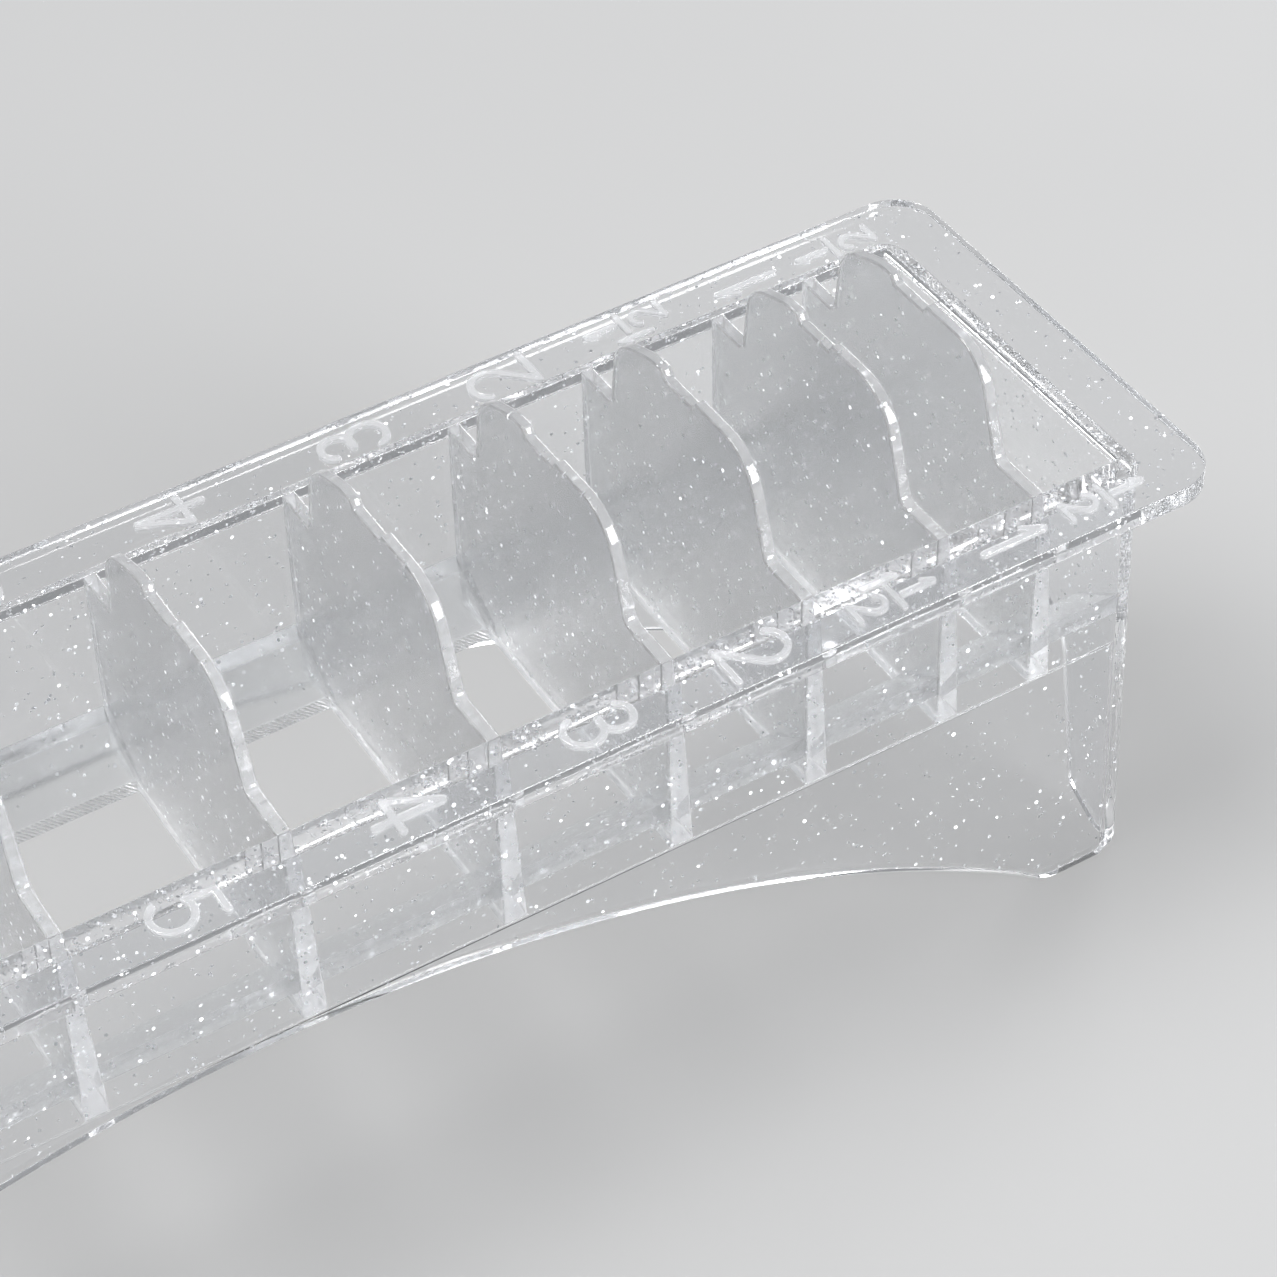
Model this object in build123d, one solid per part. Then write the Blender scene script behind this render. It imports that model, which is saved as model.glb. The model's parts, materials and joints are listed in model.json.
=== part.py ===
from build123d import *
import math
import os

# Clipper guard holder: a clear tray with a flat rim, ten open slots between nine
# humped dividers, and a skirt that arches down to four corner legs.
# Millimetres. X runs along the tray, Y across it, Z up; the origin is on the
# ground under the middle of the tray.

os.makedirs("parts", exist_ok=True)

# overall
LENGTH = 250.0
WIDTH = 66.0
RIM_TOP = 64.0
RIM_THICK = 2.7
RIM_CORNER = 6.0

# opening in the rim, which is flush with the inside of the walls
OPEN_LENGTH = 231.8
OPEN_WIDTH = 48.8
WALL = 2.4
POST_RADIUS = 3.0

# the box under the rim, and the sloped sills along its two long walls
BOX_BOTTOM = 35.9
SILL_TOP_WALL = 43.8
SILL_TOP_EDGE = 38.0
SILL_UNDER_WALL = 40.7
SILL_REACH = 7.7

# dividers: centre positions, and thickness at three heights
DIVIDER_X = {
    "half": 104.4, "1": 91.2, "1_half": 72.7, "2": 54.2, "3": 32.1,
    "4": 6.5, "5": -20.3, "6": -49.7, "7": -81.9,
}
DIVIDER_THICK_TOP = 1.5
DIVIDER_THICK_RIM = 1.8
DIVIDER_THICK_FOOT = 3.2
HUMP_TOP = 77.4
RECESS_DEPTH = 1.1
RECESS_BACK = 5.0
RECESS_FRONT = -2.2

# skirt and legs
SKIRT = 2.0
ARCH_RADIUS = 177.0
ARCH_TOP = 35.7
FOOT_START = 108.5
FOOT_END = 114.4
CORNER_LIFT = 0.8
END_ARCH_TOP = 33.0
END_ARCH_HALF_TOP = 12.5
END_ARCH_HALF_FOOT = 16.0
END_ARCH_FOOT = 21.5

# raised numbers
NUMBER_HEIGHT = 8.2
NUMBER_RAISE = 0.5
NUMBER_STROKE = 0.95
FRACTION_STROKE = 0.75
FRACTION_SIZE = 4.15
FRACTION_BAR = 3.9
FRONT_NUMBER_Y = -29.1
BACK_NUMBER_INSET = {"1": 1.6}
BACK_NUMBER_INSET_OTHER = 0.9
NUMBER_SHIFT = {"half": 0.1, "1_half": -1.3}
NUMBER_SHIFT_OTHER = -0.5

RIM_BOTTOM = RIM_TOP - RIM_THICK
OPEN_X = OPEN_LENGTH / 2
OPEN_Y = OPEN_WIDTH / 2
OUT_X = OPEN_X + WALL
OUT_Y = OPEN_Y + WALL
HALF_LENGTH = LENGTH / 2
HALF_WIDTH = WIDTH / 2


def block(x0, x1, y0, y1, z0, z1):
    """A box given by its two corners."""
    centre = Pos((x0 + x1) / 2, (y0 + y1) / 2, (z0 + z1) / 2)
    return centre * Box(x1 - x0, y1 - y0, z1 - z0)


def along_x(outline, x0, x1):
    """A closed (Y, Z) outline drawn out from x0 to x1."""
    return extrude(Plane.YZ.offset(x0) * make_face(outline), amount=x1 - x0)


def along_y(outline, y0, y1):
    """A closed (X, Z) outline drawn out from y0 to y1."""
    return extrude(Plane.XZ.offset(-y1) * make_face(outline), amount=y1 - y0)


def save(name, shape):
    shape.label = name
    export_step(shape, f"parts/{name}.step")


# rim -----------------------------------------------------------------------

def rim_pieces():
    """Two end plates with the rounded corners, and two long strips between."""
    plate = extrude(RectangleRounded(LENGTH, WIDTH, RIM_CORNER), amount=RIM_THICK)
    plate = Pos(0, 0, RIM_BOTTOM) * plate
    low, high = RIM_BOTTOM - 1, RIM_TOP + 1
    yield "rim_right", plate & block(OPEN_X, LENGTH, -WIDTH, WIDTH, low, high)
    yield "rim_left", plate & block(-LENGTH, -OPEN_X, -WIDTH, WIDTH, low, high)
    yield "rim_back", plate & block(-OPEN_X, OPEN_X, OPEN_Y, WIDTH, low, high)
    yield "rim_front", plate & block(-OPEN_X, OPEN_X, -WIDTH, -OPEN_Y, low, high)


# box walls -----------------------------------------------------------------

def wall_pieces():
    """Long walls between the corner posts, end walls between the long walls."""
    end = OUT_X - POST_RADIUS
    side = OUT_Y - POST_RADIUS
    z0, z1 = BOX_BOTTOM, RIM_BOTTOM
    yield "wall_back", block(-end, end, OPEN_Y, OUT_Y, z0, z1)
    yield "wall_front", block(-end, end, -OUT_Y, -OPEN_Y, z0, z1)
    yield "wall_right", block(OPEN_X, OUT_X, -side, side, z0, z1)
    yield "wall_left", block(-OUT_X, -OPEN_X, -side, side, z0, z1)


def corner_post(sign_x, sign_y):
    """A quarter-round upright that joins two walls and runs down to the foot."""
    centre_x = sign_x * (OUT_X - POST_RADIUS)
    centre_y = sign_y * (OUT_Y - POST_RADIUS)
    tall = RIM_BOTTOM - CORNER_LIFT
    rod = Pos(centre_x, centre_y, CORNER_LIFT + tall / 2) * Cylinder(POST_RADIUS, tall)
    x_far = centre_x + sign_x * 2 * POST_RADIUS
    y_far = centre_y + sign_y * 2 * POST_RADIUS
    quarter = block(
        min(centre_x, x_far), max(centre_x, x_far),
        min(centre_y, y_far), max(centre_y, y_far), 0, RIM_TOP,
    )
    return (rod & quarter) - block(-OPEN_X, OPEN_X, -OPEN_Y, OPEN_Y, 0, RIM_TOP)


# dividers ------------------------------------------------------------------

def hump_outline():
    """Side view of a divider: level at the rim front and back, humped between."""
    corners = [
        (OPEN_Y, RIM_TOP), (17.5, RIM_TOP), (15.9, HUMP_TOP - 3.0), (7.6, HUMP_TOP),
        (-13.2, HUMP_TOP), (-16.9, RIM_TOP), (-OPEN_Y, RIM_TOP),
    ]
    top = FilletPolyline(*corners, radius=[0.8, 6.0, 10.0, 6.6, 1.2])
    foot = Polyline(
        (-OPEN_Y, RIM_TOP), (-OPEN_Y, BOX_BOTTOM), (OPEN_Y, BOX_BOTTOM), (OPEN_Y, RIM_TOP)
    )
    return top + foot


def taper_outline(centre):
    """End view of a divider: thick at its foot, thinner towards the top."""
    foot, rim, top = DIVIDER_THICK_FOOT / 2, DIVIDER_THICK_RIM / 2, DIVIDER_THICK_TOP / 2
    right = [(foot, BOX_BOTTOM), (rim, RIM_TOP), (top, HUMP_TOP + 1)]
    left = [(-x, z) for x, z in reversed(right)]
    return Polyline(*[(centre + x, z) for x, z in right + left], close=True)


def divider(centre):
    plate = along_x(hump_outline(), centre - DIVIDER_THICK_FOOT, centre + DIVIDER_THICK_FOOT)
    plate = plate & along_y(taper_outline(centre), -OPEN_Y, OPEN_Y)
    floor = HUMP_TOP - RECESS_DEPTH
    lead = 0.6
    recess = Polyline(
        (RECESS_BACK + lead, HUMP_TOP + 1), (RECESS_BACK, HUMP_TOP), (RECESS_BACK - lead, floor),
        (RECESS_FRONT + lead, floor), (RECESS_FRONT, HUMP_TOP), (RECESS_FRONT - lead, HUMP_TOP + 1),
        close=True,
    )
    return plate - along_x(recess, centre - DIVIDER_THICK_FOOT, centre + DIVIDER_THICK_FOOT)


# sills ---------------------------------------------------------------------

def sill(sign, dividers):
    """The sloped ledge at the foot of a long wall, cut through by the dividers."""
    wall, edge = sign * OPEN_Y, sign * (OPEN_Y - SILL_REACH)
    outline = Polyline(
        (wall, SILL_TOP_WALL), (edge, SILL_TOP_EDGE), (edge, BOX_BOTTOM),
        (wall, SILL_UNDER_WALL), close=True,
    )
    strip = along_x(outline, -OPEN_X, OPEN_X)
    for plate in dividers:
        strip = strip - plate
    return strip


# skirt ---------------------------------------------------------------------

def arch_height(x):
    """Height of the long arch's circular part at a distance x from the middle."""
    return ARCH_TOP - (ARCH_RADIUS - math.sqrt(ARCH_RADIUS ** 2 - x ** 2))


def leg_outline():
    """Side view of the right leg: the arch, a soft turn, and the flat foot."""
    end = OUT_X - POST_RADIUS
    arch_end = 102.0
    slope = arch_end / math.sqrt(ARCH_RADIUS ** 2 - arch_end ** 2)
    arch = ThreePointArc(
        (0, ARCH_TOP), (arch_end / 2, arch_height(arch_end / 2)), (arch_end, arch_height(arch_end))
    )
    turn = Spline(
        (arch_end, arch_height(arch_end)), (FOOT_START, 0),
        tangents=[(1, -slope), (1, 0)],
    )
    rest = Polyline(
        (FOOT_START, 0), (FOOT_END, 0), (end, CORNER_LIFT), (end, BOX_BOTTOM), (0, BOX_BOTTOM),
        (0, ARCH_TOP),
    )
    return arch + turn + rest


def leg_pieces():
    right_front = along_y(leg_outline(), -OUT_Y, -OUT_Y + SKIRT)
    right_back = mirror(right_front, about=Plane.XZ)
    yield "leg_front_right", right_front
    yield "leg_back_right", right_back
    yield "leg_front_left", mirror(right_front, about=Plane.YZ)
    yield "leg_back_left", mirror(right_back, about=Plane.YZ)


def end_skirt_outline():
    """End view of the skirt under a short wall, with its tall arch."""
    side = OUT_Y - POST_RADIUS
    return FilletPolyline(
        (-side, CORNER_LIFT), (-END_ARCH_FOOT, CORNER_LIFT), (-END_ARCH_HALF_FOOT, 4.0),
        (-END_ARCH_HALF_TOP, END_ARCH_TOP), (END_ARCH_HALF_TOP, END_ARCH_TOP),
        (END_ARCH_HALF_FOOT, 4.0), (END_ARCH_FOOT, CORNER_LIFT), (side, CORNER_LIFT),
        radius=[2.0, 4.0, 9.0, 9.0, 4.0, 2.0],
    ) + Polyline((side, CORNER_LIFT), (side, BOX_BOTTOM), (-side, BOX_BOTTOM), (-side, CORNER_LIFT))


def end_skirt_pieces():
    yield "end_skirt_right", along_x(end_skirt_outline(), OUT_X - SKIRT, OUT_X)
    yield "end_skirt_left", along_x(end_skirt_outline(), -OUT_X, -OUT_X + SKIRT)


# raised numbers ------------------------------------------------------------
# Each glyph is drawn upright in a cell one unit high, from y = 0 to y = 1.

def glyph_1():
    return [Line((0.20, 0.72), (0.34, 1.0)), Line((0.34, 1.0), (0.34, 0.0))]


def glyph_2():
    bowl = CenterArc((0.30, 0.71), 0.29, 155, -198)
    tail = Line(bowl @ 1, (0.02, 0.02))
    return [bowl, tail, Line((0.02, 0.02), (0.70, 0.02))]


def glyph_3():
    upper = CenterArc((0.29, 0.76), 0.24, 155, -265)
    lower = CenterArc((0.29, 0.26), 0.28, 108, -268)
    return [upper, lower]


def glyph_4():
    stem, bar = Line((0.38, 1.0), (0.38, 0.0)), Line((0.02, 0.30), (0.60, 0.30))
    return [stem, bar, Line((0.02, 0.30), (0.38, 1.0))]


def glyph_5():
    bowl = CenterArc((0.27, 0.32), 0.30, 120, -265)
    return [bowl, Line(bowl @ 0, (0.16, 0.98)), Line((0.16, 0.98), (0.56, 0.98))]


def glyph_6():
    return [CenterArc((0.30, 0.28), 0.27, 0, 360), Spline((0.035, 0.30), (0.16, 0.76), (0.46, 1.0))]


def glyph_7():
    return [Line((0.04, 0.97), (0.58, 0.97)), Spline((0.58, 0.97), (0.34, 0.50), (0.24, 0.0))]


def glyph_8():
    return [CenterArc((0.30, 0.76), 0.22, 0, 360), CenterArc((0.30, 0.28), 0.26, 0, 360)]


def stroke(lines, size, left, base, width=NUMBER_STROKE):
    """The strokes of one glyph, widened, at its size and place in the number."""
    drawn = []
    for line in lines:
        placed = Pos(left, base) * line.scale(size)
        drawn.append(trace(placed, width))
        for point in (placed @ 0, placed @ 1):
            drawn.append(Pos(point.X, point.Y) * Circle(width / 2))
    return drawn


def fraction():
    """One over two, stacked about a level bar that starts at the origin."""
    size, width = FRACTION_SIZE, FRACTION_STROKE
    drawn = stroke(glyph_1(), size, 0.6, 0.9, width)
    drawn += stroke([Line((0, 0), (FRACTION_BAR, 0))], 1.0, 0, 0, width)
    drawn += stroke(glyph_2(), size, 0.5, -1.4 - size, width)
    return drawn


GLYPHS = {
    "1": glyph_1, "2": glyph_2, "3": glyph_3, "4": glyph_4,
    "5": glyph_5, "6": glyph_6, "7": glyph_7, "8": glyph_8,
}


def number_sketch(label):
    """A slot's size, centred on the origin, reading along +X and up +Y."""
    if label == "half":
        drawn = fraction()
    elif label == "1_half":
        drawn = stroke(glyph_1(), 4.4, -2.6, -2.5, FRACTION_STROKE) + fraction()
    else:
        drawn = stroke(GLYPHS[label](), NUMBER_HEIGHT, 0, 0)
    shape = Sketch() + drawn
    centre = shape.bounding_box().center()
    return Pos(-centre.X, -centre.Y) * shape


def number(label, x, side):
    """A raised number, read from outside: lined up by the opening at the back."""
    sketch = number_sketch(label)
    solid = extrude(sketch, amount=NUMBER_RAISE)
    if side == "front":
        return Pos(x, FRONT_NUMBER_Y, RIM_TOP) * Rot(0, 0, -90) * solid
    inset = BACK_NUMBER_INSET.get(label, BACK_NUMBER_INSET_OTHER)
    y = OPEN_Y + inset + sketch.bounding_box().size.X / 2
    return Pos(x, y, RIM_TOP) * Rot(0, 0, 90) * solid


def slot_centres():
    """The middle of each slot at the rim, named by the size it holds."""
    edges = [OPEN_X] + list(DIVIDER_X.values()) + [-OPEN_X]
    names = list(DIVIDER_X) + ["8"]
    return {name: (a + b) / 2 for name, a, b in zip(names, edges, edges[1:])}


# build ---------------------------------------------------------------------

dividers = {name: divider(x) for name, x in DIVIDER_X.items()}
for name, plate in dividers.items():
    save(f"divider_{name}", plate)
save("sill_back", sill(1, dividers.values()))
save("sill_front", sill(-1, dividers.values()))

for maker in (rim_pieces, wall_pieces, leg_pieces, end_skirt_pieces):
    for name, shape in maker():
        save(name, shape)

for side_x, sign_x in (("left", -1), ("right", 1)):
    for side_y, sign_y in (("front", -1), ("back", 1)):
        save(f"corner_post_{side_y}_{side_x}", corner_post(sign_x, sign_y))

for name, x in slot_centres().items():
    for side in ("back", "front"):
        shift = NUMBER_SHIFT.get(name, NUMBER_SHIFT_OTHER)
        save(f"number_{side}_{name}", number(name, x + shift, side))
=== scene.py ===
import bmesh
import bpy
import json
import math
import random
from mathutils import Matrix, Vector
from mathutils.bvhtree import BVHTree

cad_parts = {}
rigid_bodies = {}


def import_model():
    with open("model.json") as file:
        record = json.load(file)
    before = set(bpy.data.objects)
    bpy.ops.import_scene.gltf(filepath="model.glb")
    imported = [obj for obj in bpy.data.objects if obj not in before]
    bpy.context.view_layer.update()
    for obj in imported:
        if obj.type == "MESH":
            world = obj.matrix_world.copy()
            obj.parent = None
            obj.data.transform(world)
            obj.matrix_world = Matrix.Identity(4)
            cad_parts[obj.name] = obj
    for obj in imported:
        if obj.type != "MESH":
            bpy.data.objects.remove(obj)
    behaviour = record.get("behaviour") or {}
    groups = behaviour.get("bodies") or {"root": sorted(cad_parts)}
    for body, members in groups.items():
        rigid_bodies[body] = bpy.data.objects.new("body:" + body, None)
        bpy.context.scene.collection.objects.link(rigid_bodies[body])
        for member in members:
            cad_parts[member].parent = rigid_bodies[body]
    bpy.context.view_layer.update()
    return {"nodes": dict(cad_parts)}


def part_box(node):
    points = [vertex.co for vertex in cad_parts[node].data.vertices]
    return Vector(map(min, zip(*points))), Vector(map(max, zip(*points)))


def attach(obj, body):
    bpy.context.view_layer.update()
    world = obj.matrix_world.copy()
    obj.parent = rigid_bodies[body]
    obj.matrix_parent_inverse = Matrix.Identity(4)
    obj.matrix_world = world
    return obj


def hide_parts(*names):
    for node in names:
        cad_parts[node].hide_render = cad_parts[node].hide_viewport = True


# The looks of a clear guard tray: one glossy shell, nine satin dividers, two
# satin ledges, raised numbers on the rim, and glitter flakes set in the plastic.
# Metres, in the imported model's frame.

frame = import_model()
nodes = frame["nodes"]

MM = 0.001
RIM_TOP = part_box("rim_front")[1].z
WALL_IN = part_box("wall_back")[0].y       # inner face of a long wall
OVERLAP = 0.12 * MM                      # touching clear pieces pass this far into each other
GRID_PER_METRE = 1e5                     # copies are rounded to a hundredth of a millimetre
WELD = 2e-6                              # points closer than this become one point

SHELL_BEVEL = 0.32 * MM
DIVIDER_BEVEL = 0.34 * MM
LEDGE_BEVEL = 0.15 * MM
NUMBER_BEVEL = 0.28 * MM

FLAT_ANGLE = math.radians(1)             # faces that meet flatter than this are joined
BEVEL_ANGLE = math.radians(35)           # edges sharper than this are rounded
SMOOTH_ANGLE = math.radians(40)          # surfaces shade as one up to this
RIDGE_ANGLE = 1.0                        # radians; a number's top edges are sharper
SQUARE_ON = 0.9                          # part of a face's normal that makes it face a side

PLASTIC_IOR = 1.57
SIGHT_BOUNCES = 28                       # sight passes through and reflects in many clear walls
SEED = 11


# nodes of a material -------------------------------------------------------

MIX_LOW, MIX_HIGH, MIX_RESULT = 6, 7, 2    # a Mix node's colour sockets


class Shader:
    """A material's node tree, with short calls to add and join nodes."""

    def __init__(self, name):
        self.material = bpy.data.materials.new(name)
        self.material.use_nodes = True
        self.tree = self.material.node_tree
        self.tree.nodes.clear()
        self.output = self.add("OutputMaterial")

    def add(self, kind, **settings):
        node = self.tree.nodes.new("ShaderNode" + kind)
        for name, value in settings.items():
            setattr(node, name, value)
        return node

    def join(self, source, target):
        self.tree.links.new(source, target)

    def coordinates(self, scale=(1, 1, 1)):
        """Places in the object's own space, in millimetres times scale."""
        mapping = self.add("Mapping")
        mapping.inputs["Scale"].default_value = [s / MM for s in scale]
        self.join(self.add("TexCoord").outputs["Object"], mapping.inputs["Vector"])
        return mapping.outputs["Vector"]

    def noise(self, scale, detail=2.0, stretch=(1, 1, 1)):
        node = self.add("TexNoise")
        node.inputs["Scale"].default_value = scale
        node.inputs["Detail"].default_value = detail
        self.join(self.coordinates(stretch), node.inputs["Vector"])
        return node.outputs["Fac"]

    def ranged(self, value, low, high, start=0.0, end=1.0):
        """The value's stretch from start to end, spread from low to high."""
        node = self.add("MapRange")
        node.inputs["From Min"].default_value = start
        node.inputs["From Max"].default_value = end
        node.inputs["To Min"].default_value = low
        node.inputs["To Max"].default_value = high
        self.join(value, node.inputs["Value"])
        return node.outputs["Result"]

    def tinted(self, value, low, high):
        """A colour between low and high."""
        node = self.add("Mix", data_type="RGBA")
        node.inputs[MIX_LOW].default_value = (*low, 1)
        node.inputs[MIX_HIGH].default_value = (*high, 1)
        self.join(value, node.inputs["Factor"])
        return node.outputs[MIX_RESULT]

    def bump(self, height, strength, distance, normal=None):
        node = self.add("Bump")
        node.inputs["Strength"].default_value = strength
        node.inputs["Distance"].default_value = distance
        self.join(height, node.inputs["Height"])
        if normal is not None:
            self.join(normal, node.inputs["Normal"])
        return node.outputs["Normal"]

    def lets_lamps_through(self, shader, share):
        """This share of the light for other surfaces goes straight on; sight is refracted."""
        path = self.add("LightPath")
        either = self.add("Math", operation="MAXIMUM")
        self.join(path.outputs["Is Shadow Ray"], either.inputs[0])
        self.join(path.outputs["Is Diffuse Ray"], either.inputs[1])
        clear = self.add("BsdfTransparent")
        clear.inputs["Color"].default_value = (share, share, share, 1)
        mix = self.add("MixShader")
        self.join(either.outputs[0], mix.inputs["Fac"])
        self.join(shader, mix.inputs[1])
        self.join(clear.outputs[0], mix.inputs[2])
        self.join(mix.outputs[0], self.output.inputs["Surface"])


def plastic(shader, transmission, ior=PLASTIC_IOR):
    node = shader.add("BsdfPrincipled")
    node.inputs["IOR"].default_value = ior
    node.inputs["Transmission Weight"].default_value = transmission
    return node


def clear_material():
    """Glossy moulded plastic: faint flow waves, fine scratches and dull patches."""
    s = Shader("clear_plastic")
    body = plastic(s, 1.0)
    s.join(s.tinted(s.noise(0.06), (0.93, 0.94, 0.95), (0.99, 0.99, 1.0)), body.inputs["Base Color"])
    patches = s.noise(0.22, detail=4.0)
    s.join(s.ranged(patches, 0.012, 0.07, start=0.35, end=0.8), body.inputs["Roughness"])
    flow = s.noise(0.08, detail=1.0, stretch=(1, 1, 0.35))
    waves = s.bump(flow, strength=0.06, distance=0.25 * MM)
    scratches = s.noise(1.1, detail=3.0, stretch=(1, 1, 0.16))
    fine = s.bump(scratches, strength=0.03, distance=0.03 * MM, normal=waves)
    s.join(fine, body.inputs["Normal"])
    s.lets_lamps_through(body.outputs[0], 0.88)
    return s.material


def satin_material():
    """The dividers' broad faces and the ledges: satin, cloudy, and lighter in places."""
    s = Shader("satin_plastic")
    body = plastic(s, 0.94)
    cloud = s.noise(0.07, detail=3.0, stretch=(1, 1, 0.5))
    s.join(s.tinted(cloud, (0.80, 0.81, 0.82), (0.96, 0.97, 0.98)), body.inputs["Base Color"])
    s.join(s.ranged(cloud, 0.21, 0.265), body.inputs["Roughness"])
    s.lets_lamps_through(body.outputs[0], 0.72)
    return s.material


def edge_material():
    """The dividers' rounded edge band: polished but milky."""
    s = Shader("edge_plastic")
    body = plastic(s, 0.86)
    s.join(s.tinted(s.noise(0.3), (0.90, 0.91, 0.92), (0.98, 0.98, 0.99)), body.inputs["Base Color"])
    s.join(s.ranged(s.noise(0.6, detail=3.0), 0.05, 0.16), body.inputs["Roughness"])
    s.join(s.bump(s.noise(0.5), strength=0.04, distance=0.05 * MM), body.inputs["Normal"])
    s.lets_lamps_through(body.outputs[0], 0.8)
    return s.material


def number_material_painted_highlight():
    """The raised numbers: polished, and milkier than the rim they stand on as a painted highlight that
    stands in for light on their rounded tops; their plastic is as clear as the rim.
    """
    s = Shader("number_plastic_painted_highlight")
    # painted highlight: less clear and whiter than the rim, so that the numbers read bright
    body = plastic(s, 0.74)
    s.join(s.tinted(s.noise(0.5), (0.94, 0.95, 0.96), (0.99, 0.99, 1.0)), body.inputs["Base Color"])
    s.join(s.ranged(s.noise(0.9, detail=3.0), 0.06, 0.15), body.inputs["Roughness"])
    s.lets_lamps_through(body.outputs[0], 0.8)
    return s.material


def hatched_material():
    """The ledges' cut edges, ribbed by the cutter."""
    s = Shader("hatched_plastic")
    body = plastic(s, 0.8)
    wave = s.add("TexWave", wave_type="BANDS", bands_direction="DIAGONAL", wave_profile="SIN")
    wave.inputs["Scale"].default_value = 1.0
    wave.inputs["Distortion"].default_value = 0.6
    wave.inputs["Detail"].default_value = 1.0
    s.join(s.coordinates(), wave.inputs["Vector"])
    s.join(s.tinted(wave.outputs["Fac"], (0.80, 0.81, 0.82), (0.97, 0.97, 0.98)), body.inputs["Base Color"])
    s.join(s.ranged(wave.outputs["Fac"], 0.15, 0.26), body.inputs["Roughness"])
    s.join(s.bump(wave.outputs["Fac"], strength=0.6, distance=0.18 * MM), body.inputs["Normal"])
    s.lets_lamps_through(body.outputs[0], 0.75)
    return s.material


def flake_material():
    """Silvered film, a little different from flake to flake."""
    s = Shader("glitter_film")
    body = s.add("BsdfPrincipled")
    body.inputs["Metallic"].default_value = 1.0
    s.join(s.tinted(s.noise(0.9), (0.72, 0.74, 0.78), (1.0, 1.0, 1.0)), body.inputs["Base Color"])
    s.join(s.ranged(s.noise(2.0), 0.18, 0.42), body.inputs["Roughness"])
    s.join(body.outputs[0], s.output.inputs["Surface"])
    return s.material


def floor_material():
    """A plain pale sweep, a little uneven."""
    s = Shader("studio_floor")
    body = s.add("BsdfPrincipled")
    body.inputs["Specular IOR Level"].default_value = 0.25
    grey = s.tinted(s.noise(0.004), (0.50, 0.50, 0.50), (0.53, 0.53, 0.53))
    s.join(grey, body.inputs["Base Color"])
    s.join(s.ranged(s.noise(0.02), 0.55, 0.7), body.inputs["Roughness"])
    s.join(body.outputs[0], s.output.inputs["Surface"])
    return s.material


# meshes --------------------------------------------------------------------

def node_mesh(name):
    """A CAD node's mesh, closed up again and rounded to a common grid."""
    made = bmesh.new()
    made.from_mesh(nodes[name].data)
    bmesh.ops.remove_doubles(made, verts=made.verts, dist=WELD)
    for vert in made.verts:
        vert.co = [round(c * GRID_PER_METRE) / GRID_PER_METRE for c in vert.co]
    return made


def add_object(name, made, materials=()):
    mesh = bpy.data.meshes.new(name)
    made.to_mesh(mesh)
    made.free()
    obj = bpy.data.objects.new(name, mesh)
    bpy.context.scene.collection.objects.link(obj)
    for material in materials:
        mesh.materials.append(material)
    return obj


def flatten(made):
    """Joins triangles that lie in one plane, so that only real edges are left."""
    bmesh.ops.remove_doubles(made, verts=made.verts, dist=WELD)
    bmesh.ops.dissolve_limit(made, angle_limit=FLAT_ANGLE, verts=made.verts, edges=made.edges)


def round_edges(obj, width, segments=2):
    bevel = obj.modifiers.new("rounded", "BEVEL")
    bevel.width = width
    bevel.segments = segments
    bevel.limit_method = "ANGLE"
    bevel.angle_limit = BEVEL_ANGLE
    apply_modifiers(obj)
    smooth_curves(obj)


def smooth_curves(obj):
    """Smooth shading across rounded edges that leaves broad flat faces flat."""
    obj.data.shade_smooth()
    obj.data.set_sharp_from_angle(angle=SMOOTH_ANGLE)
    obj.modifiers.new("flat_faces_flat", "WEIGHTED_NORMAL").keep_sharp = True
    apply_modifiers(obj)


def apply_modifiers(obj):
    """The object keeps the mesh that its modifiers make, and the modifiers go."""
    graph = bpy.context.evaluated_depsgraph_get()
    made = bpy.data.meshes.new_from_object(obj.evaluated_get(graph))
    obj.modifiers.clear()
    old, obj.data = obj.data, made
    bpy.data.meshes.remove(old)
    obj.data.name = obj.name


def starting(*prefixes):
    """The CAD nodes whose names start so, in order."""
    return sorted(n for n in nodes if n.startswith(prefixes))


def finish_piece(obj, replaced):
    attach(obj, "root")
    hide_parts(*replaced)


# the shell -----------------------------------------------------------------

def make_shell(material):
    """Rim, walls, posts, legs and end skirts, fused as they are moulded."""
    names = starting("rim", "wall", "corner_post", "leg", "end_skirt")
    shell = add_object("clear_shell", node_mesh(names[0]))
    others = bpy.data.collections.new("joined")
    bpy.context.scene.collection.children.link(others)
    for name in names[1:]:
        part = add_object("joined_" + name, node_mesh(name))
        bpy.context.scene.collection.objects.unlink(part)
        others.objects.link(part)
    union = shell.modifiers.new("union", "BOOLEAN")
    union.operation = "UNION"
    union.operand_type = "COLLECTION"
    union.collection = others
    union.solver = "EXACT"
    apply_modifiers(shell)
    for part in list(others.objects):
        bpy.data.objects.remove(part)
    bpy.data.collections.remove(others)

    made = bmesh.new()
    made.from_mesh(shell.data)
    flatten(made)
    made.to_mesh(shell.data)
    made.free()
    shell.data.materials.clear()
    shell.data.materials.append(material)
    round_edges(shell, SHELL_BEVEL)
    finish_piece(shell, names)


# dividers ------------------------------------------------------------------

HUMP_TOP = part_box("divider_2")[1].z
DIVIDER_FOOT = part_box("divider_2")[0].z
FOOT_HALF = (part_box("divider_2")[1].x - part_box("divider_2")[0].x) / 2
RIM_HALF = 0.90 * MM                     # half a divider's thickness at the rim
TOP_HALF = 0.75 * MM                     # and at the top of its hump
RECESS_FLOOR = HUMP_TOP - 1.1 * MM       # of the shallow recess in the hump's top
ARC_STEP = math.radians(6)
PLANE_SLACK = 1e-7                       # points this close to a cutting plane lie in it


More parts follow.
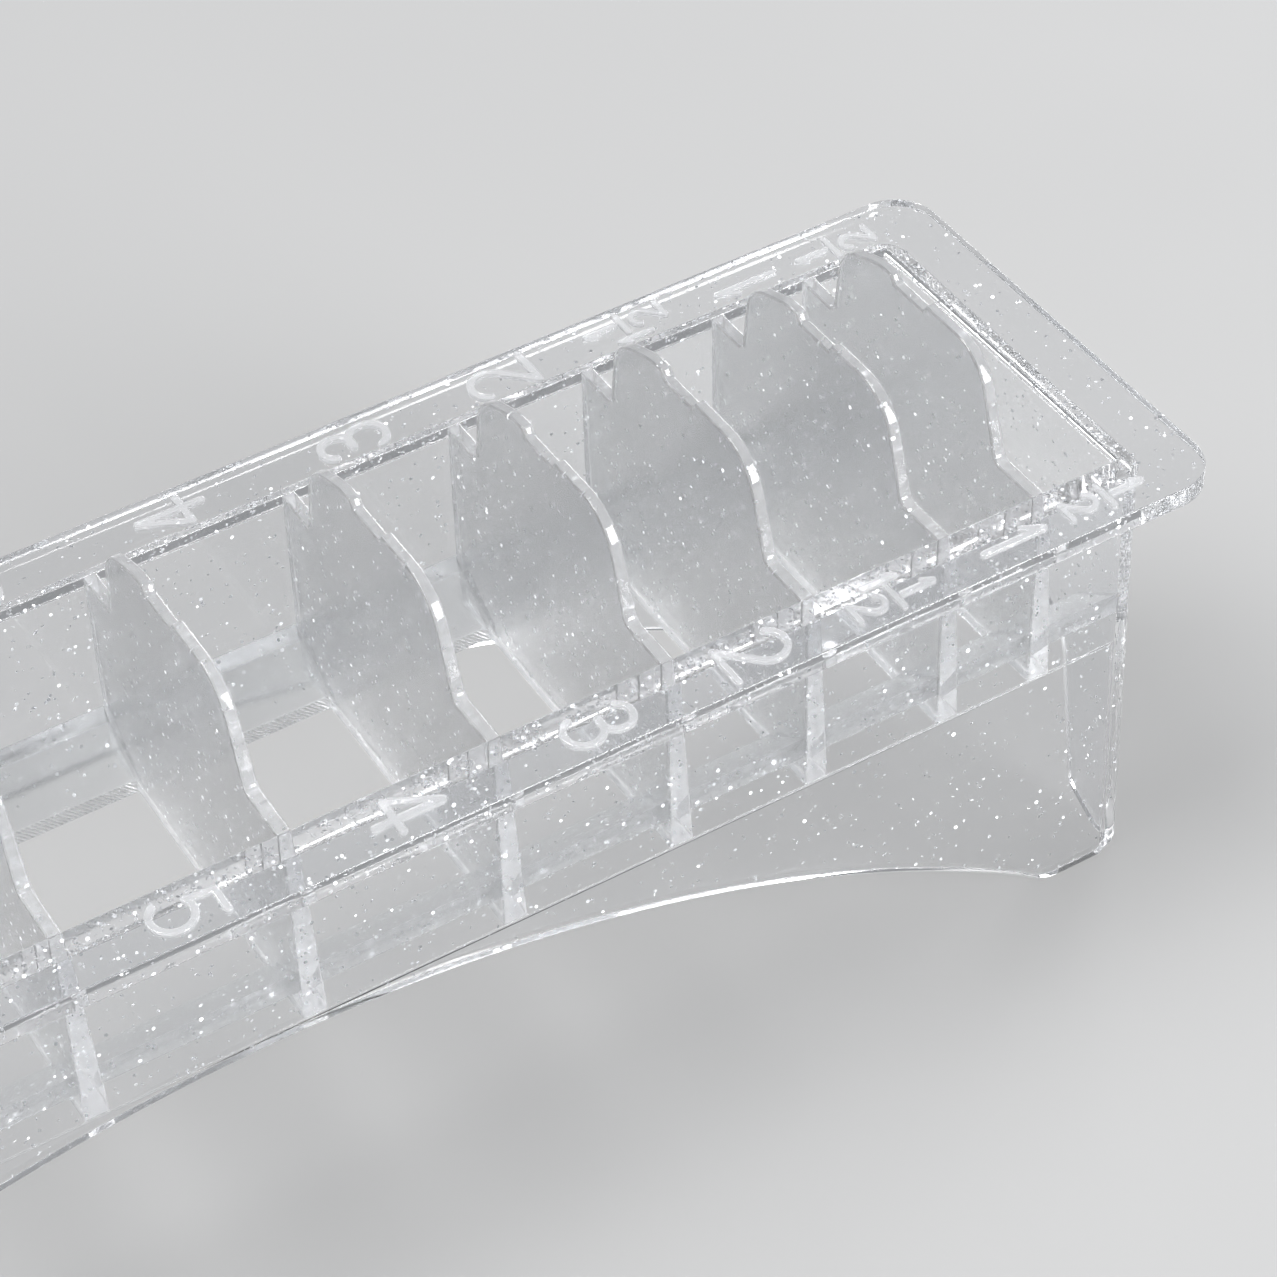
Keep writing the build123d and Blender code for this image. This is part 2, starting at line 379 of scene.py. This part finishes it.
def rounded_outline(corners):
    """The (y, z) points round an outline whose corners are (y, z, radius)."""
    points = []
    for i, (y, z, radius) in enumerate(corners):
        corner = Vector((y, z))
        before = (Vector(corners[i - 1][:2]) - corner).normalized()
        after = (Vector(corners[(i + 1) % len(corners)][:2]) - corner).normalized()
        if not radius:
            points.append(corner)
            continue
        half = before.angle(after) / 2
        centre = corner + (before + after).normalized() * radius / math.sin(half)
        start = corner + before * radius / math.tan(half) - centre
        sweep = start.angle_signed(corner + after * radius / math.tan(half) - centre)
        steps = max(2, round(abs(sweep) / ARC_STEP))
        for k in range(steps + 1):
            points.append(centre + Matrix.Rotation(-sweep * k / steps, 2) @ start)
    return points


def divider_outline():
    """Level at the rim front and back, and a hump with a shallow recess between."""
    wall = WALL_IN + OVERLAP
    top, rim = HUMP_TOP, RIM_TOP
    return rounded_outline([
        (-wall, DIVIDER_FOOT, 0), (wall, DIVIDER_FOOT, 0), (wall, rim, 0),
        (17.5 * MM, rim, 0.8 * MM), (15.9 * MM, top - 3.0 * MM, 6.0 * MM),
        (7.6 * MM, top, 10.0 * MM),
        (5.0 * MM, top, 0), (4.4 * MM, RECESS_FLOOR, 0),
        (-1.6 * MM, RECESS_FLOOR, 0), (-2.2 * MM, top, 0),
        (-13.2 * MM, top, 6.6 * MM), (-16.9 * MM, rim, 1.2 * MM), (-wall, rim, 0),
    ])


def half_thickness(z):
    """A divider tapers from its foot to the rim, and on to the top of its hump."""
    if z < RIM_TOP:
        share = (z - DIVIDER_FOOT) / (RIM_TOP - DIVIDER_FOOT)
        return FOOT_HALF + (RIM_HALF - FOOT_HALF) * share
    return RIM_HALF + (TOP_HALF - RIM_HALF) * (z - RIM_TOP) / (HUMP_TOP - RIM_TOP)


def make_divider(node, materials):
    """One divider, let into both walls, with satin faces and a glossy edge."""
    low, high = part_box(node)
    centre = (low.x + high.x) / 2
    made = bmesh.new()
    left, right = [], []
    for y, z in divider_outline():
        left.append(made.verts.new((centre - half_thickness(z), y, z)))
        right.append(made.verts.new((centre + half_thickness(z), y, z)))
    made.faces.new(reversed(left))
    made.faces.new(right)
    for k in range(len(left)):
        made.faces.new((left[k - 1], left[k], right[k], right[k - 1]))
    bmesh.ops.bisect_plane(
        made, geom=made.verts[:] + made.edges[:] + made.faces[:],
        plane_co=(0, 0, RIM_TOP), plane_no=(0, 0, 1), dist=PLANE_SLACK,
    )
    bmesh.ops.recalc_face_normals(made, faces=made.faces)
    obj = add_object("satin_" + node, made, materials)
    round_edges(obj, DIVIDER_BEVEL, 3)
    for face in obj.data.polygons:
        face.material_index = 0 if abs(face.normal.x) > SQUARE_ON else 1
    finish_piece(obj, [node])


# ledges --------------------------------------------------------------------

def loose_parts(made):
    """The mesh's separate solids, each as a list of its vertices."""
    left = set(made.verts)
    while left:
        part, todo = [], [next(iter(left))]
        while todo:
            vert = todo.pop()
            if vert in left:
                left.remove(vert)
                part.append(vert)
                todo += [e.other_vert(vert) for e in vert.link_edges]
        yield part


def make_ledge(node, side, materials):
    """Ten ledge segments, each let into the wall and the dividers beside it."""
    made = node_mesh(node)
    flatten(made)
    made.verts.ensure_lookup_table()
    for part in loose_parts(made):
        middle = sum(v.co.x for v in part) / len(part)
        for vert in part:
            vert.co.x += math.copysign(OVERLAP, vert.co.x - middle)
            if abs(vert.co.y * side - WALL_IN) < OVERLAP:
                vert.co.y += side * OVERLAP
    made.normal_update()
    obj = add_object("satin_" + node.replace("sill", "ledge"), made, materials)
    round_edges(obj, LEDGE_BEVEL)
    for face in obj.data.polygons:
        face.material_index = 1 if face.normal.y * side < -SQUARE_ON else 0
    finish_piece(obj, [node])


# numbers -------------------------------------------------------------------

def make_number(node, material):
    """A raised number with a well rounded top, its foot let into the rim."""
    made = node_mesh(node)
    flatten(made)
    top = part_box(node)[1].z - OVERLAP
    for vert in made.verts:
        if vert.co.z < RIM_TOP + OVERLAP:
            vert.co.z = RIM_TOP - OVERLAP
    made.normal_update()
    ridge = [
        e for e in made.edges
        if all(v.co.z > top for v in e.verts) and e.calc_face_angle(0) > RIDGE_ANGLE
    ]
    bmesh.ops.bevel(
        made, geom=ridge, offset=NUMBER_BEVEL, offset_type="OFFSET", segments=3,
        profile=0.5, affect="EDGES", clamp_overlap=True,
    )
    made.normal_update()
    obj = add_object("raised_" + node, made, [material])
    smooth_curves(obj)
    finish_piece(obj, [node])


# glitter -------------------------------------------------------------------

FLAKE_RADIUS = 0.23 * MM
FLAKE_SIZES = (0.55, 1.25)               # least and most, in parts of that radius
FLAKE_SIDES = 6
FLAKE_THICK = 0.03 * MM
FLAKE_CLEARANCE = FLAKE_RADIUS * 1.3     # from the plastic's surface to a flake's middle
FLAKE_LEAN = 0.8                         # how far flakes turn away from the surface's way
FLAKES_PER_CM3 = 150
CM3_PER_M3 = 1e6


def inside_points(made, count_per_m3, draw):
    """Random places inside a closed mesh, clear of its surface, and the way out."""
    tree = BVHTree.FromBMesh(made)
    low = Vector([min(v.co[i] for v in made.verts) for i in range(3)])
    high = Vector([max(v.co[i] for v in made.verts) for i in range(3)])
    size = high - low
    tries = int(size.x * size.y * size.z * count_per_m3 + draw.random())
    for _ in range(tries):
        point = Vector([draw.uniform(a, b) for a, b in zip(low, high)])
        near, normal, _, distance = tree.find_nearest(point)
        if (point - near).dot(normal) < 0 and distance > FLAKE_CLEARANCE:
            yield point, normal


def add_flake(target, place, facing, draw):
    """A thin six-sided chip of film that faces a way, give or take its lean."""
    radius = FLAKE_RADIUS * draw.uniform(*FLAKE_SIZES)
    turn = Matrix.Rotation(draw.uniform(0, math.tau), 3, "Z")
    way = facing + FLAKE_LEAN * Vector([draw.gauss(0, 1) for _ in range(3)])
    basis = way.to_track_quat("Z", "Y").to_matrix() @ turn
    rings = []
    for level in (-0.5, 0.5):
        ring = []
        for k in range(FLAKE_SIDES):
            angle = math.tau / FLAKE_SIDES * k
            height = level * FLAKE_THICK
            corner = Vector((radius * math.cos(angle), radius * math.sin(angle), height))
            ring.append(target.verts.new(place + basis @ corner))
        rings.append(ring)
    low, high = rings
    target.faces.new(reversed(low))
    target.faces.new(high)
    for k in range(FLAKE_SIDES):
        n = (k + 1) % FLAKE_SIDES
        target.faces.new((low[k], low[n], high[n], high[k]))


def make_glitter(name, sources, material):
    """Flakes through the plastic of these CAD nodes, as one piece."""
    draw = random.Random(SEED + len(name))
    flakes = bmesh.new()
    for node in sources:
        solid = node_mesh(node)
        for place, normal in inside_points(solid, FLAKES_PER_CM3 * CM3_PER_M3, draw):
            add_flake(flakes, place, normal, draw)
        solid.free()
    obj = add_object(name, flakes, [material])
    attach(obj, "root")


# studio --------------------------------------------------------------------

FLOOR_RADIUS = 4.0
SKY_COLOUR = (0.80, 0.82, 0.85, 1)
SKY_STRENGTH = 0.34
TRAY_MIDDLE = Vector((0, 0, 0.04))

CAMERA_PLACE = Vector((-0.0944, -0.28864, 0.35232))
CAMERA_ANGLES = (-28.789, 43.205, -3.319)    # azimuth, elevation and roll in degrees
CAMERA_LENS = 106.546
SENSOR_WIDTH = 36


def make_studio():
    """A wide pale floor, a soft sky and three softboxes."""
    made = bmesh.new()
    bmesh.ops.create_circle(made, cap_ends=True, segments=96, radius=FLOOR_RADIUS)
    floor = add_object("floor", made, [floor_material()])

    world = bpy.data.worlds.new("studio")
    bpy.context.scene.world = world
    world.use_nodes = True
    sky = world.node_tree.nodes["Background"]
    sky.inputs["Color"].default_value = SKY_COLOUR
    sky.inputs["Strength"].default_value = SKY_STRENGTH

    add_softbox("front_box", (0.50, -1.05, 0.55), width=0.45, height=0.7, watts=15)
    add_softbox("top_box", (-0.75, 0.25, 1.25), width=0.8, height=0.6, watts=16)
    add_softbox("back_box", (0.95, 0.75, 0.40), width=0.6, height=0.3, watts=6)


def add_softbox(name, place, width, height, watts):
    """A soft lamp that faces the tray."""
    data = bpy.data.lights.new(name, "AREA")
    data.shape = "RECTANGLE"
    data.size = width
    data.size_y = height
    data.energy = watts
    lamp = bpy.data.objects.new(name, data)
    lamp.location = place
    aim = TRAY_MIDDLE - Vector(place)
    lamp.rotation_euler = aim.to_track_quat("-Z", "Y").to_euler()
    bpy.context.scene.collection.objects.link(lamp)


def make_camera():
    """Looks down on the tray's right end from the front left."""
    azimuth, elevation, roll = (math.radians(a) for a in CAMERA_ANGLES)
    back = Vector((
        math.sin(azimuth) * math.cos(elevation),
        -math.cos(azimuth) * math.cos(elevation),
        math.sin(elevation),
    ))
    level = Vector((math.cos(azimuth), math.sin(azimuth), 0))
    upright = back.cross(level)
    right = math.cos(roll) * level + math.sin(roll) * upright
    up = math.cos(roll) * upright - math.sin(roll) * level
    data = bpy.data.cameras.new("camera")
    data.sensor_width = SENSOR_WIDTH
    data.lens = CAMERA_LENS
    data.clip_start, data.clip_end = 0.01, 20
    camera = bpy.data.objects.new("camera", data)
    turned = Matrix((right, up, back)).transposed().to_4x4()
    camera.matrix_world = Matrix.Translation(CAMERA_PLACE) @ turned
    bpy.context.scene.collection.objects.link(camera)
    bpy.context.scene.camera = camera


# build ---------------------------------------------------------------------

clear = clear_material()
satin = satin_material()
edge = edge_material()
# the numbers' milky white is a painted highlight for light on their rounded tops
milky = number_material_painted_highlight()
hatched = hatched_material()
film = flake_material()

make_shell(clear)
for node in starting("divider"):
    make_divider(node, [satin, edge])
make_ledge("sill_back", 1, [satin, hatched])
make_ledge("sill_front", -1, [satin, hatched])
for node in starting("number"):
    make_number(node, milky)

make_glitter("glitter_rim", starting("rim"), film)
make_glitter("glitter_walls", starting("wall", "corner_post"), film)
make_glitter("glitter_skirt", starting("leg", "end_skirt"), film)
make_glitter("glitter_dividers", starting("divider", "sill"), film)

make_studio()
make_camera()

scene = bpy.context.scene
scene.view_settings.view_transform = "Standard"
scene.cycles.max_bounces = SIGHT_BOUNCES
scene.cycles.transmission_bounces = SIGHT_BOUNCES
scene.cycles.glossy_bounces = SIGHT_BOUNCES
scene.cycles.transparent_max_bounces = SIGHT_BOUNCES
